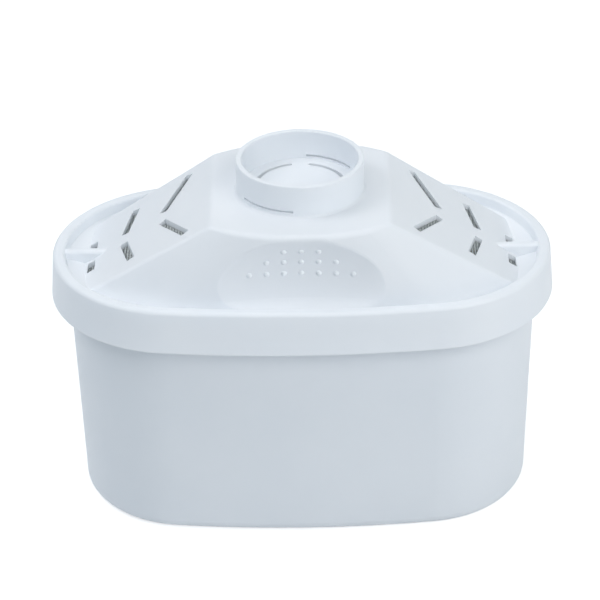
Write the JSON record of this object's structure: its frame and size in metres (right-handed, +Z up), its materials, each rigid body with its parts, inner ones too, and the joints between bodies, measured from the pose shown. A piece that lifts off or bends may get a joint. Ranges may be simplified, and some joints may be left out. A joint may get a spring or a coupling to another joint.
{
  "type": "water filter cartridge",
  "caption": "Oval drop-in cartridge for a water filter pitcher: a cup of granules under a domed, slotted lid with a finger ring and a hanging rim.",
  "frame": {"origin": "centre of the cup's flat base, on the plane it stands on", "axes": "+Z up through the finger ring, X along the long axis, -Y towards the scooped front in the picture"},
  "size_m": [0.1066, 0.0594, 0.0776],
  "materials": {
    "cup": "satin moulded white, very slightly translucent",
    "lid": "satin moulded white",
    "mesh": "fine woven grey mesh",
    "granules": "mixed dark and amber granules"
  },
  "bodies": {
    "root": {"cup": "cup", "lid": "lid", "slot_screen_left": "mesh", "slot_screen_right": "mesh", "vent_screen": "mesh", "outlet_screen": "mesh", "media_bed": "granules"}
  },
  "joints": []
}
